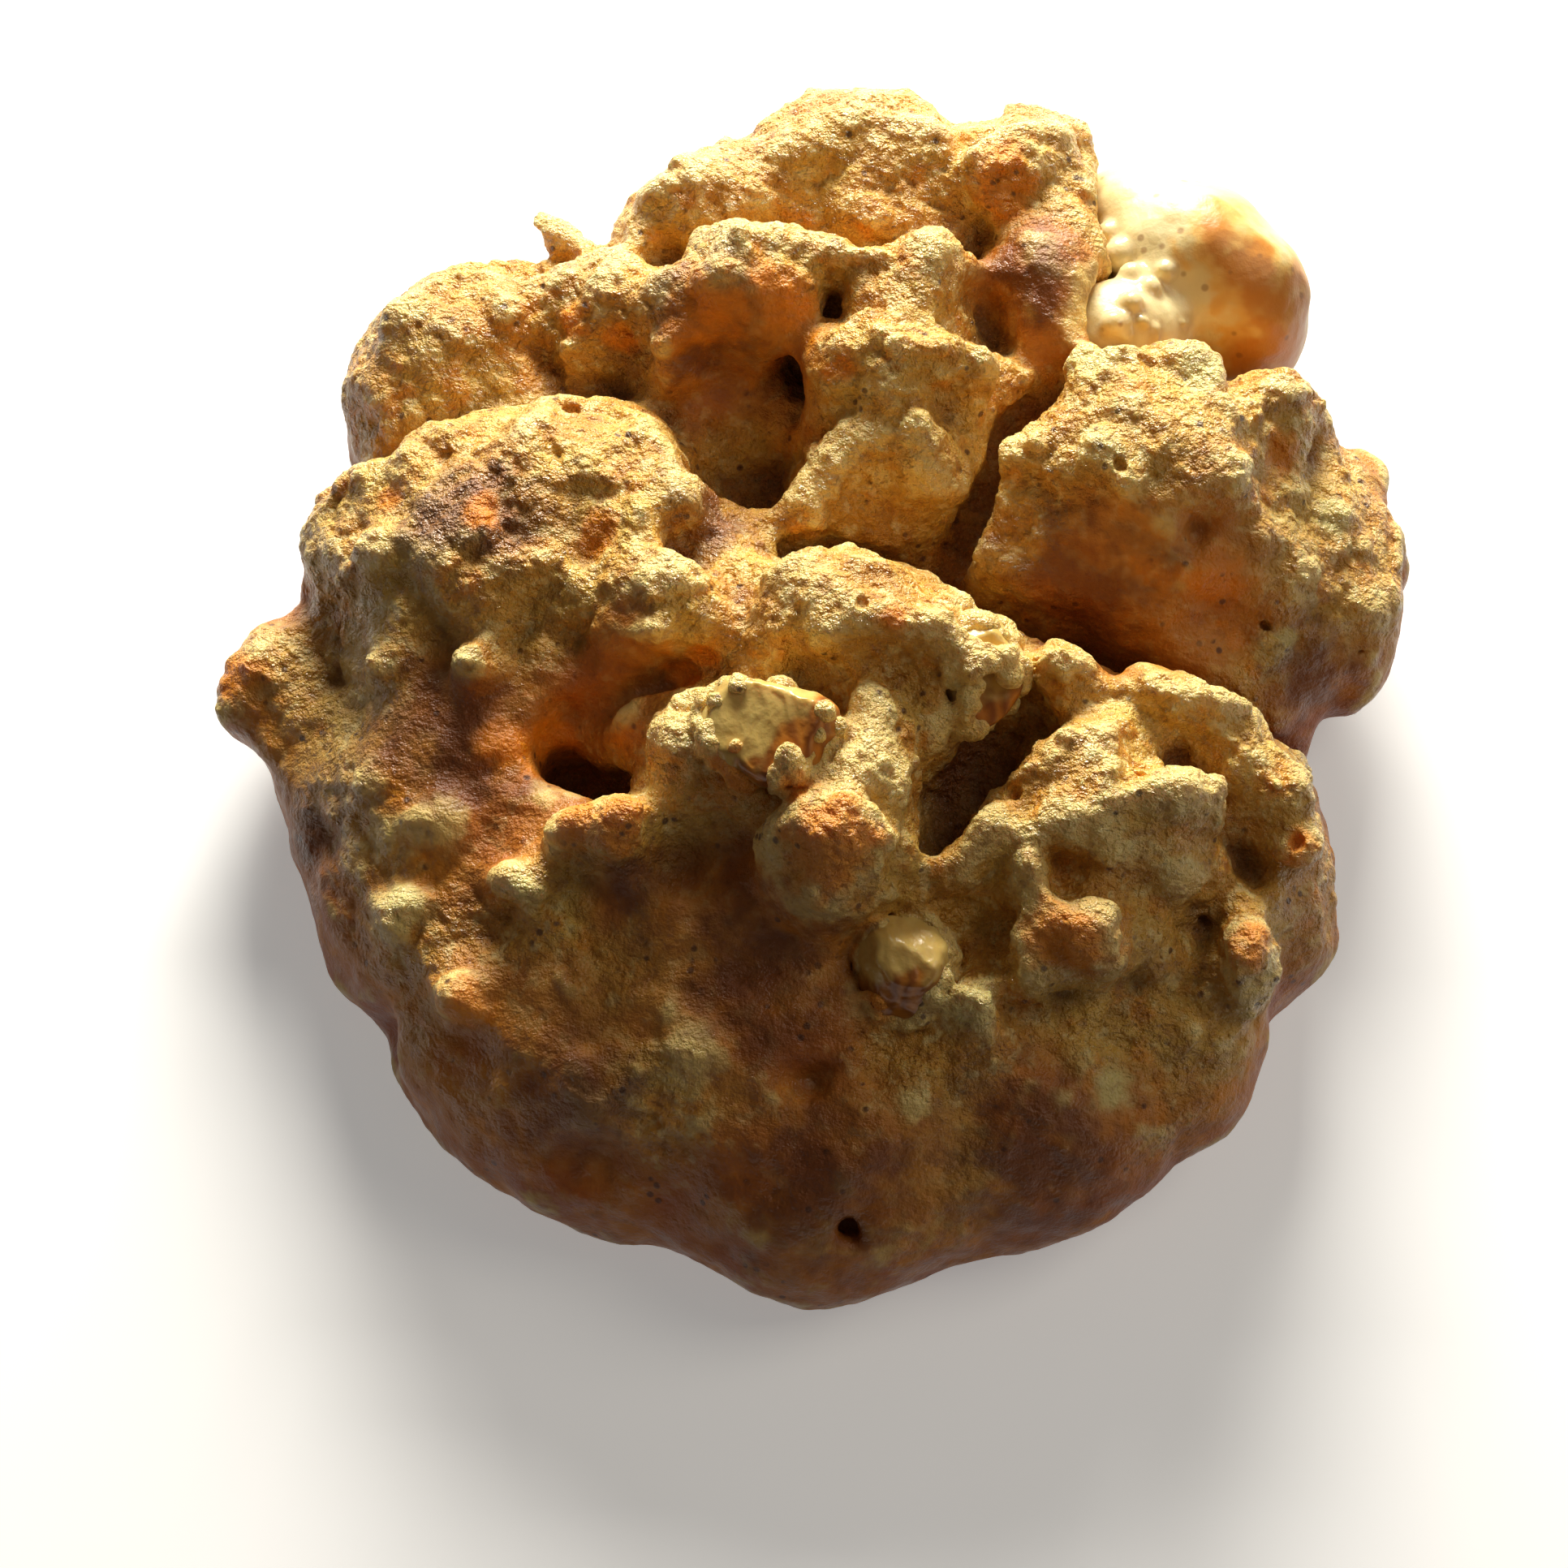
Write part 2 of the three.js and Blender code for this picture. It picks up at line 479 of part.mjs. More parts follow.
// Grid corners that meet only along an edge or at a point would pinch the surface there, so the
// shallowest outside corner of each such square or cube is taken inside, until none is left.
function fillPinches(values, index, count) {
  const square = [[0, 0], [1, 0], [1, 1], [0, 1]];
  const diagonals = [[0, 0, 0], [1, 0, 0], [0, 1, 0], [0, 0, 1]];
  const fill = (corners) => {
    const outside = corners.filter((corner) => values[corner] >= 0);
    values[outside.reduce((best, corner) => (values[corner] < values[best] ? corner : best))] = -FILLED;
  };
  let filled = true;
  while (filled) {
    filled = false;
    for (let k = 0; k + 1 < count[2]; k++)
      for (let j = 0; j + 1 < count[1]; j++)
        for (let i = 0; i + 1 < count[0]; i++) {
          for (let axis = 0; axis < 3; axis++) {
            const corners = square.map(([s, t]) => {
              const place = [i, j, k];
              place[(axis + 1) % 3] += s;
              place[(axis + 2) % 3] += t;
              return index(...place);
            });
            const [a, b, c, d] = corners.map((corner) => values[corner] < 0);
            if (a !== c || b !== d || a === b) continue;
            fill(corners);
            filled = true;
          }
          for (const [s, t, u] of diagonals) {
            const near = index(i + s, j + t, k + u);
            const far = index(i + 1 - s, j + 1 - t, k + 1 - u);
            const others = cubeCorners(index, i, j, k).filter((corner) => corner !== near && corner !== far);
            const inside = values[near] < 0;
            if (inside !== values[far] < 0) continue;
            if (others.some((corner) => values[corner] < 0 === inside)) continue;
            fill(inside ? others : [near, far]);
            filled = true;
          }
        }
  }
}

function cubeCorners(index, i, j, k) {
  const corners = [];
  for (let n = 0; n < 8; n++) corners.push(index(i + (n & 1), j + ((n >> 1) & 1), k + (n >> 2)));
  return corners;
}

// The mean of the places, in grid steps, where the surface crosses the twelve edges of a cell.
function crossingMean(values, index, [i, j, k]) {
  const sum = [0, 0, 0];
  let crossings = 0;
  for (let axis = 0; axis < 3; axis++)
    for (const [s, t] of [[0, 0], [1, 0], [0, 1], [1, 1]]) {
      const start = [i, j, k];
      start[(axis + 1) % 3] += s;
      start[(axis + 2) % 3] += t;
      const end = [...start];
      end[axis] += 1;
      const [a, b] = [values[index(...start)], values[index(...end)]];
      if (a < 0 === b < 0) continue;
      crossings += 1;
      start[axis] += a / (a - b);
      for (let n = 0; n < 3; n++) sum[n] += start[n];
    }
  return sum.map((total) => total / crossings);
}

function solidFrom(positions, triangles) {
  return new wasm.Manifold(new wasm.Mesh({ numProp: 3, vertProperties: positions, triVerts: triangles }));
}

// The field's surface as a solid of about so many triangles, fewer where it is flat.
function solidOfField(field, low, high, cell, triangleCount) {
  const { positions, triangles } = surfaceNets(field, low, high, cell);
  const indexCount = Math.min(triangleCount * 3, triangles.length);
  const [kept] = MeshoptSimplifier.simplify(triangles, positions, 3, indexCount, 1);
  return solidFrom(...withoutSpares(positions, kept));
}

function withoutSpares(positions, triangles) {
  const newIndex = new Map();
  const kept = [];
  for (const vertex of triangles) {
    if (newIndex.has(vertex)) continue;
    newIndex.set(vertex, kept.length / 3);
    kept.push(...positions.subarray(vertex * 3, vertex * 3 + 3));
  }
  return [new Float32Array(kept), triangles.map((vertex) => newIndex.get(vertex))];
}

function pieceSolid({ field, centre, reach, triangles }, skin) {
  const low = centre.toArray().map((c) => c - reach);
  const high = centre.toArray().map((c) => c + reach);
  return solidOfField((p) => field(p) - skin, low, high, PIECE_CELL, triangles);
}

// The slab below the table, which cuts the dough's underside flat.
function tableSolid() {
  const slab = new THREE.BoxGeometry(120, 120, 20).translate(0, 0, -10).toNonIndexed();
  const corners = new THREE.BufferGeometry().setAttribute("position", slab.getAttribute("position"));
  const merged = mergeCorners(corners);
  return solidFrom(merged.positions, merged.triangles);
}

function mergeCorners(geometry) {
  const found = new Map();
  const positions = [];
  const triangles = [];
  const all = geometry.getAttribute("position");
  for (let i = 0; i < all.count; i++) {
    const corner = [all.getX(i), all.getY(i), all.getZ(i)];
    const key = corner.join(" ");
    if (!found.has(key)) {
      found.set(key, positions.length / 3);
      positions.push(...corner);
    }
    triangles.push(found.get(key));
  }
  return { positions: new Float32Array(positions), triangles: new Uint32Array(triangles) };
}

function largestBody(solid) {
  return solid.decompose().reduce((best, body) => (body.volume() > best.volume() ? body : best));
}

function meshOf(name, solid, colour, roughness) {
  const { vertProperties, triVerts } = solid.getMesh();
  const geometry = new THREE.BufferGeometry()
    .setAttribute("position", new THREE.BufferAttribute(vertProperties, 3))
    .setIndex(new THREE.BufferAttribute(triVerts, 1));
  geometry.computeVertexNormals();
  const material = new THREE.MeshStandardMaterial({ color: colour, roughness, metalness: 0 });
  const mesh = new THREE.Mesh(geometry, material);
  mesh.name = name;
  return mesh;
}

// ---------------------------------------------------------------- the cookie

const cookie = new THREE.Group();

const [LOW_CORNER, HIGH_CORNER] = [[-46, -46, -FOOT_DEPTH - 2 * CELL], [46, 50, 34]];
let dough = solidOfField(doughDistance, LOW_CORNER, HIGH_CORNER, CELL, DOUGH_TRIANGLES).subtract(tableSolid());
for (const [name, piece] of Object.entries(PIECES)) {
  dough = dough.subtract(pieceSolid(piece, GAP));
  cookie.add(meshOf(name, largestBody(pieceSolid(piece, 0)), piece.colour, 0.45));
}
cookie.add(meshOf("dough", largestBody(dough), 0xb5874a, 0.7));

export default cookie;
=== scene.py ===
"""The walnut cookie's looks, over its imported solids.

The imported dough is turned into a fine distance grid, roughened into clumps, crumb and pores, and meshed
again. The nut pieces and the pale chunk are made the same way. Crumbs over the nuts' edges are part of
the dough, and froth is part of the chunk. Lengths are in millimetres until a mesh is made, and Blender's
are metres.

Places on the cookie are given as the picture shows them: across, mm to the right of its middle, and
rise, mm up the picture. A ray from the eye finds the point on the dough.
"""

import math

import bpy
import numpy as np
import openvdb
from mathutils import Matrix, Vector
from mathutils.bvhtree import BVHTree


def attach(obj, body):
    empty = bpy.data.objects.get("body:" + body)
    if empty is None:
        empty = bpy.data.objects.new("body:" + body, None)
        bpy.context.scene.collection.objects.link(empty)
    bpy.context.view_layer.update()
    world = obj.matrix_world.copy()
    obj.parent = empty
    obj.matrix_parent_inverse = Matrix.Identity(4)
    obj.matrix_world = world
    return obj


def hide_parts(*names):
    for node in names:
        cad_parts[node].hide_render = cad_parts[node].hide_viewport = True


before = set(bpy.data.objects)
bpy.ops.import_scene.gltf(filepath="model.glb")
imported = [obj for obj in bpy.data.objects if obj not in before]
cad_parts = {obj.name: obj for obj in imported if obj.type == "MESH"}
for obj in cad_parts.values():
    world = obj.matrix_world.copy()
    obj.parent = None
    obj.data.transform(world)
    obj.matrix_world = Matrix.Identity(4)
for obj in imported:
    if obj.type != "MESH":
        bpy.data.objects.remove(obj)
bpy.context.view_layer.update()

MM = 0.001

# ------------------------------------------------------------------ the eye and places in the picture

VIEW_ANGLE = math.radians(65)
VIEW_DISTANCE = 250
VIEW_MIDDLE = np.array([0.0, 0.0, 14.0])
VIEW_RIGHT = np.array([1.0, 0.0, 0.0])
VIEW_UP = np.array([0.0, math.sin(VIEW_ANGLE), math.cos(VIEW_ANGLE)])
VIEW_BACK = np.array([0.0, -math.cos(VIEW_ANGLE), math.sin(VIEW_ANGLE)])
AIM = VIEW_MIDDLE - 2.1 * VIEW_RIGHT - 5.8 * VIEW_UP
EYE = AIM + VIEW_DISTANCE * VIEW_BACK
PICTURE_WIDTH = 105  # what the picture's side measures at the cookie
SENSOR_WIDTH = 36


def in_picture(across, rise):
    return VIEW_MIDDLE + across * VIEW_RIGHT + rise * VIEW_UP


def seen(across, rise, z):
    """The point that shows at a place in the picture and is z high."""
    on_picture = in_picture(across, rise)
    share = (z - EYE[2]) / (on_picture[2] - EYE[2])
    return EYE + share * (on_picture - EYE)


# ------------------------------------------------------------------ repeatable noise

TABLE_SIZE = 64
TURN = np.array([[0.36, 0.48, -0.8], [-0.8, 0.6, 0.0], [0.48, 0.64, 0.6]])


def random_table(seed, channels=1):
    numbers = np.random.default_rng(seed)
    return numbers.random((TABLE_SIZE**3, channels), dtype=np.float32)


def cell_numbers(cells):
    """The table rows of whole-number places, given as three columns."""
    i, j, k = (column & (TABLE_SIZE - 1) for column in cells)
    return (i * TABLE_SIZE + j) * TABLE_SIZE + k


def split(points, scale, shift):
    """Cell columns and the smoothed parts within them."""
    place = (points @ TURN.astype(np.float32) + np.float32(shift)) / np.float32(scale)
    cells, parts = [], []
    for column in place.T:
        whole = np.floor(column)
        part = column - whole
        cells.append(whole.astype(np.int32))
        parts.append(part * part * (3 - 2 * part))
    return cells, parts


def soft_noise(points, scale, seed):
    """Smooth noise from -1 to 1 with bumps of about that scale."""
    table = random_table(seed)[:, 0]
    (i, j, k), (u, v, w) = split(points, scale, seed * 7.3)
    planes = []
    for x in (0, 1):
        rows = []
        for y in (0, 1):
            low = table.take(cell_numbers((i + x, j + y, k)))
            high = table.take(cell_numbers((i + x, j + y, k + 1)))
            rows.append(low + w * (high - low))
        planes.append(rows[0] + v * (rows[1] - rows[0]))
    return (planes[0] + u * (planes[1] - planes[0])) * 2 - 1


def rough_noise(points, scale, seed, octaves=3, gain=0.5):
    total = np.zeros(len(points), np.float32)
    for octave in range(octaves):
        total += gain**octave * soft_noise(points, scale / 2**octave, seed + octave)
    return total


def scattered(points, scale, seed):
    """Distance to the nearest of points scattered about a scale apart, and a random number for that one."""
    table = random_table(seed, 4)
    place = (points @ TURN.astype(np.float32) / np.float32(scale)).T
    low = [np.floor(column - 0.5).astype(np.int32) for column in place]
    nearest = np.full(len(points), 9.0, np.float32)
    owner = np.zeros(len(points), np.float32)
    for corner in range(8):
        cells = [column + (corner >> axis & 1) for axis, column in enumerate(low)]
        drawn = table[cell_numbers(cells)]
        apart = np.zeros(len(points), np.float32)
        for axis in range(3):
            apart += (cells[axis] + (0.1 + 0.8 * drawn[:, axis]) - place[axis]) ** 2
        closer = apart < nearest
        nearest = np.where(closer, apart, nearest)
        owner = np.where(closer, drawn[:, 3], owner)
    return np.sqrt(nearest) * np.float32(scale), owner


def ramp(value, low, high):
    share = np.clip((value - low) / (high - low), 0, 1)
    return share * share * (3 - 2 * share)


# ------------------------------------------------------------------ distance grids

VOXEL = 0.22
BAND = 10  # voxels of true distance on each side of a surface
MARGIN = 14  # empty voxels round a shape


class Grid:
    """Signed distance in mm, negative inside, on a dense block of voxels."""

    def __init__(self, values, corner, voxel):
        self.values = values
        self.corner = np.asarray(corner, float)
        self.voxel = voxel

    def near(self, distance):
        """Index and position of each voxel within that distance of the surface."""
        index = np.nonzero(np.abs(self.values) < distance)
        points = np.stack(index, 1).astype(np.float32) * self.voxel + self.corner.astype(np.float32)
        return index, points

    def at(self, points):
        place = (points - self.corner) / self.voxel
        limit = np.array(self.values.shape) - 2
        cell = np.clip(np.floor(place).astype(np.int32), 0, limit)
        part = np.clip(place - cell, 0, 1).astype(np.float32)
        total = np.zeros(len(points), np.float32)
        for corner in range(8):
            step = np.array([corner & 1, corner >> 1 & 1, corner >> 2])
            weight = np.prod(np.where(step, part, 1 - part), axis=1)
            i, j, k = (cell + step).T
            total += weight * self.values[i, j, k]
        return total

    def coarser(self):
        """Every second voxel."""
        return Grid(self.values[::2, ::2, ::2], self.corner, self.voxel * 2)

    def smoothed(self, reach):
        """Averaged over about that many mm."""
        steps = np.arange(-int(2 * reach / self.voxel), int(2 * reach / self.voxel) + 1)
        weights = np.exp(-0.5 * (steps * self.voxel / reach) ** 2)
        weights /= weights.sum()
        values = self.values
        for axis in range(3):
            total = np.zeros_like(values)
            for step, weight in zip(steps, weights):
                total += np.float32(weight) * np.roll(values, step, axis)
            values = total
        return Grid(values, self.corner, self.voxel)

    def mesh(self):
        transform = openvdb.createLinearTransform(self.voxel)
        grid = openvdb.FloatGrid(float(BAND * self.voxel))
        grid.copyFromArray(np.ascontiguousarray(self.values), tolerance=0.0)
        grid.transform = transform
        points, triangles, quads = grid.convertToPolygons(isovalue=0.0, adaptivity=0.0)
        faces = [quads[:, [0, 1, 2]], quads[:, [0, 2, 3]], triangles]
        return points + self.corner, np.concatenate([f for f in faces if len(f)])


def mesh_arrays(obj):
    mesh = obj.data
    mesh.calc_loop_triangles()
    points = np.empty(len(mesh.vertices) * 3, np.float32)
    mesh.vertices.foreach_get("co", points)
    triangles = np.empty(len(mesh.loop_triangles) * 3, np.int32)
    mesh.loop_triangles.foreach_get("vertices", triangles)
    return points.reshape(-1, 3) / MM, triangles.reshape(-1, 3)


def grid_of(obj, voxel=VOXEL, margin=MARGIN):
    points, triangles = mesh_arrays(obj)
    low = np.floor(points.min(0) / voxel) - margin
    high = np.ceil(points.max(0) / voxel) + margin
    grid = openvdb.FloatGrid.createLevelSetFromPolygons(
        points.astype(np.float32),
        triangles=triangles.astype(np.uint32),
        transform=openvdb.createLinearTransform(voxel),
        halfWidth=float(BAND),
    )
    values = np.empty((high - low + 1).astype(int), np.float32)
    grid.copyToArray(values, ijk=tuple(int(v) for v in low))
    return Grid(values, low * voxel, voxel)


def new_piece(name, points, triangles, material, replaces=None):
    mesh = bpy.data.meshes.new(name)
    mesh.vertices.add(len(points))
    mesh.vertices.foreach_set("co", (points * MM).astype(np.float32).ravel())
    mesh.loops.add(len(triangles) * 3)
    mesh.loops.foreach_set("vertex_index", triangles.astype(np.int32).ravel())
    mesh.polygons.add(len(triangles))
    mesh.polygons.foreach_set("loop_start", np.arange(len(triangles), dtype=np.int32) * 3)
    mesh.polygons.foreach_set("use_smooth", np.ones(len(triangles), bool))
    mesh.update(calc_edges=True)
    mesh.materials.append(material)
    obj = bpy.data.objects.new(name, mesh)
    bpy.context.scene.collection.objects.link(obj)
    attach(obj, "root")
    if replaces:
        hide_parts(replaces)
    return obj


def vertex_normals(points, triangles):
    a, b, c = (points[triangles[:, n]] for n in range(3))
    across_face = np.cross(b - a, c - a)
    normals = np.zeros_like(points)
    for corner in range(3):
        for axis in range(3):
            normals[:, axis] += np.bincount(triangles[:, corner], across_face[:, axis], len(points))
    return normals / np.maximum(np.linalg.norm(normals, axis=1, keepdims=True), 1e-9)


def store(obj, name, values):
    layer = obj.data.attributes.new(name, "FLOAT", "POINT")
    layer.data.foreach_set("value", np.asarray(values, np.float32))


# ------------------------------------------------------------------ materials

def node_maker(material):
    tree = material.node_tree

    def make(kind, inputs=(), **settings):
        node = tree.nodes.new(kind)
        for name, value in settings.items():
            setattr(node, name, value)
        for name, value in dict(inputs).items():
            socket = node.inputs[name]
            if isinstance(value, bpy.types.NodeSocket):
                tree.links.new(value, socket)
            else:
                socket.default_value = value
        return node

    return make


def srgb(red, green, blue):
    """A colour from screen values of 0 to 255."""
    values = [c / 255 for c in (red, green, blue)]
    return (*[c / 12.92 if c < 0.04045 else ((c + 0.055) / 1.055) ** 2.4 for c in values], 1.0)


def new_material(name):
    material = bpy.data.materials.new(name)
    material.use_nodes = True
    material.node_tree.nodes.clear()
    return material, node_maker(material)


def mixed(make, share, first, second, blend="MIX"):
    node = make("ShaderNodeMix", data_type="RGBA", blend_type=blend)
    tree = node.id_data
    for socket, value in ((node.inputs[0], share), (node.inputs[6], first), (node.inputs[7], second)):
        if isinstance(value, bpy.types.NodeSocket):
            tree.links.new(value, socket)
        else:
            socket.default_value = value
    return node.outputs[2]


def math_of(make, operation, first, second=0.0):
    node = make("ShaderNodeMath", operation=operation)
    tree = node.id_data
    for socket, value in zip(node.inputs, (first, second)):
        if isinstance(value, bpy.types.NodeSocket):
            tree.links.new(value, socket)
        else:
            socket.default_value = value
    return node.outputs[0]


def remap(make, value, low, high, to_low=0.0, to_high=1.0):
    inputs = {"Value": value, "From Min": low, "From Max": high, "To Min": to_low, "To Max": to_high}
    return make("ShaderNodeMapRange", inputs, interpolation_type="SMOOTHSTEP").outputs[0]


def attribute(make, name):
    return make("ShaderNodeAttribute", attribute_name=name).outputs["Fac"]


def noise_of(make, coordinates, bumps_per_metre, detail=3.0, roughness=0.55):
    inputs = {"Vector": coordinates, "Scale": bumps_per_metre, "Detail": detail, "Roughness": roughness}
    return make("ShaderNodeTexNoise", inputs).outputs["Fac"]


def grain_normal(make, place, torn):
    """Moist, uneven grit: fine everywhere, and coarser where the crumb is torn."""
    fine_grit = noise_of(make, place, 3400, 2, 0.6)
    fine_strength = remap(make, torn, 0.0, 1.0, 0.35, 0.8)
    fine = make("ShaderNodeBump", {"Height": fine_grit, "Strength": fine_strength, "Distance": 0.0005})
    coarse_grit = noise_of(make, place, 1300, 3, 0.62)
    inputs = {
        "Height": coarse_grit,
        "Strength": remap(make, torn, 0.0, 1.0, 0.15, 0.7),
        "Distance": 0.0009,
        "Normal": fine.outputs[0],
    }
    return make("ShaderNodeBump", inputs).outputs[0]


def dough_material():
    material, make = new_material("baked_dough")
    place = make("ShaderNodeTexCoord").outputs["Object"]
    torn = attribute(make, "torn")
    crest_highlight = attribute(make, "crest_highlight")
    toast = attribute(make, "toast")
    hollow_shade = attribute(make, "hollow_shade")
    pale = attribute(make, "pale")
    shade_and_browning = attribute(make, "shade_and_browning")

    blotch = remap(make, noise_of(make, place, 170), 0.35, 0.65)
    crumb = mixed(make, blotch, srgb(214, 152, 54), srgb(234, 188, 86))
    skin = mixed(make, blotch, srgb(182, 92, 28), srgb(206, 122, 40))
    colour = mixed(make, torn, skin, crumb)
    warm = remap(make, noise_of(make, place, 330, 2), 0.54, 0.68, 0.0, 0.55)
    colour = mixed(make, warm, colour, srgb(238, 148, 24))
    # Painted highlight: convex crests are made paler and creamier, in place of the light and glints they
    # catch.
    colour = mixed(make, remap(make, crest_highlight, 0.15, 0.9), colour, srgb(248, 212, 128))
    colour = mixed(make, pale, colour, srgb(236, 214, 134))
    clots = noise_of(make, place, 820, 2, 0.6)
    light_share = remap(make, clots, 0.52, 0.68, 0.0, 0.6)
    dark_share = remap(make, clots, 0.46, 0.3, 0.0, 0.45)
    colour = mixed(make, math_of(make, "MULTIPLY", light_share, torn), colour, srgb(255, 230, 156))
    colour = mixed(make, dark_share, colour, srgb(162, 94, 32))
    # Painted shade: hollows and clefts are darkened toward brown, where shade falls.
    colour = mixed(make, math_of(make, "MULTIPLY", hollow_shade, 0.9), colour, srgb(118, 68, 28))
    # Painted shade, with some baked browning: the listed faces and hollows are darkened toward brown.
    colour = mixed(make, math_of(make, "MULTIPLY", shade_and_browning, 0.85), colour, srgb(120, 62, 22))
    colour = mixed(make, math_of(make, "MULTIPLY", toast, 0.85), colour, srgb(240, 142, 18))

    spots = make("ShaderNodeTexVoronoi", {"Vector": place, "Scale": 760.0}, feature="F1")
    keep = noise_of(make, place, 260, 2)
    speck = math_of(
        make,
        "MULTIPLY",
        remap(make, spots.outputs["Distance"], 0.12, 0.24, 1.0, 0.0),
        remap(make, keep, 0.5, 0.6),
    )
    colour = mixed(make, math_of(make, "MULTIPLY", speck, 0.8), colour, srgb(84, 44, 20))

    wet = noise_of(make, place, 600, 2)
    grain = grain_normal(make, place, torn)
    moist = math_of(make, "SUBTRACT", torn, toast)
    shader = make(
        "ShaderNodeBsdfPrincipled",
        {
            "Base Color": colour,
            "Roughness": remap(make, wet, 0.35, 0.65, 0.55, 0.34),
            "Normal": grain,
            "Subsurface Weight": 0.3,
            "Subsurface Radius": (0.9, 0.6, 0.25),
            "Subsurface Scale": 0.0011,
            "Coat Weight": remap(make, moist, 0.3, 1.0, 0.0, 0.4),
            "Coat Roughness": 0.1,
            "Coat Normal": grain,
        },
    )
    make("ShaderNodeOutputMaterial", {"Surface": shader.outputs[0]})
    return material


def chunk_material():
    material, make = new_material("pale_melt")
    place = make("ShaderNodeTexCoord").outputs["Object"]
    toast = attribute(make, "toast")
    white = attribute(make, "white")
    froth = attribute(make, "froth")
    blotch = noise_of(make, place, 150)
    colour = mixed(make, remap(make, blotch, 0.35, 0.65), srgb(226, 204, 142), srgb(240, 222, 166))
    colour = mixed(make, remap(make, toast, 0.0, 0.5), colour, srgb(236, 190, 106))
    colour = mixed(make, remap(make, toast, 0.4, 1.0), colour, srgb(216, 144, 60))
    colour = mixed(make, math_of(make, "MULTIPLY", froth, 0.7), colour, srgb(204, 176, 118))
    colour = mixed(make, math_of(make, "MULTIPLY", white, 0.8), colour, srgb(228, 208, 158))
    spots = make("ShaderNodeTexVoronoi", {"Vector": place, "Scale": 520.0}, feature="F1")
    speck = remap(make, spots.outputs["Distance"], 0.08, 0.18, 0.55, 0.0)
    colour = mixed(make, speck, colour, srgb(150, 96, 50))
    fine = noise_of(make, place, 1500, 3)
    bump = make("ShaderNodeBump", {"Height": fine, "Strength": 0.2, "Distance": 0.0003})
    shader = make(
        "ShaderNodeBsdfPrincipled",
        {
            "Base Color": colour,
            "Roughness": remap(make, white, 0.0, 1.0, 0.4, 0.14),
            "Normal": bump.outputs[0],
            "Subsurface Weight": 0.35,
            "Subsurface Radius": (0.8, 0.65, 0.4),
            "Subsurface Scale": 0.002,
        },
    )
    make("ShaderNodeOutputMaterial", {"Surface": shader.outputs[0]})
    return material


def nut_material():
    material, make = new_material("walnut")
    place = make("ShaderNodeTexCoord").outputs["Object"]
    skin = attribute(make, "skin")
    wave_inputs = {"Vector": place, "Scale": 240.0, "Distortion": 7.0, "Detail": 3.0, "Detail Scale": 1.6}
    veins = make("ShaderNodeTexWave", wave_inputs).outputs["Fac"]
    flesh = mixed(make, noise_of(make, place, 420), srgb(214, 172, 84), srgb(236, 206, 126))
    husk = mixed(make, veins, srgb(196, 124, 44), srgb(150, 86, 30))
    colour = mixed(make, skin, flesh, husk)
    height = mixed(make, 0.5, noise_of(make, place, 1500, 3), veins)
    bump = make("ShaderNodeBump", {"Height": height, "Strength": 0.4, "Distance": 0.0003})
    shader = make(
        "ShaderNodeBsdfPrincipled",
        {
            "Base Color": colour,
            "Roughness": 0.3,
            "Normal": bump.outputs[0],
            "Subsurface Weight": 0.25,
            "Subsurface Radius": (1.0, 0.6, 0.25),
            "Subsurface Scale": 0.0015,
        },
    )
    make("ShaderNodeOutputMaterial", {"Surface": shader.outputs[0]})
    return material


# ------------------------------------------------------------------ the dough

# Each nut piece: noise seed, the direction in which its brown skin lies and where the skin starts, the
# direction of its broken facet and how far that is from its middle, and how far crumbs reach over it.
NUTS = {
    "walnut_crest": {
        "seed": 81,
        "skin": (0.5, -0.7, -0.3),
        "skin_start": 0.1,
        "facet": (0.2, -0.5, 0.85),
        "facet_distance": 1.9,
        "crumb_reach": 1.6,
    },
    "walnut_middle": {
        "seed": 91,
        "skin": (0.8, -0.6, -0.1),
        "skin_start": 0.1,
        "facet": (-0.15, -0.25, 0.95),
        "facet_distance": 1.9,
        "crumb_reach": 2.4,
    },
    "walnut_south": {
        "seed": 101,
        "skin": (0.1, -0.75, -0.6),
        "skin_start": -0.1,
        "facet": (0.0, -0.35, 0.95),
        "facet_distance": 3.4,
        "crumb_reach": 0.9,
    },
}
NUT_VOXEL = 0.2
NUT_RIDGES = 1.3
NUT_SWELL = 0.28  # how far a nut piece grows, to close the gap round its solid

# Crumbs over the nuts' edges.
RIM_TRIES = 4000
RIM_COUNT = 240
RIM_CLEARANCE = 0.3  # how far the nut's surface is from the dough at the pocket's rim
RIM_RADII = (0.3, 0.75)
RIM_BLEND = 0.35

# Smooth baked skin, which didn't tear: across, rise, z and reach in mm.
SKINS = {
    "west face": (-22, -5, 18, 11),
    "bridge's face": (-13, 1.6, 20, 6),
    "brown crag's face": (-5, 22, 22, 7.5),
    "east boulder's face": (22, 6, 18, 10),
    "front face": (-4, -17, 16, 11),
    "south-west face": (-20, -26, 12, 10),
    "south face": (0, -32, 9, 11),
    "south-east face": (16, -30, 9, 9),
    "north slope": (16, 28, 22, 7),
    "ledge's face": (-13, -12, 16, 4.5),
}
SKIN_BELOW = 7  # z under which the side is all skin
TORN_ABOVE = 15  # z over which the top is all crumb
SKIN_CRUMB = 0.3  # the share of crumb that a skin keeps

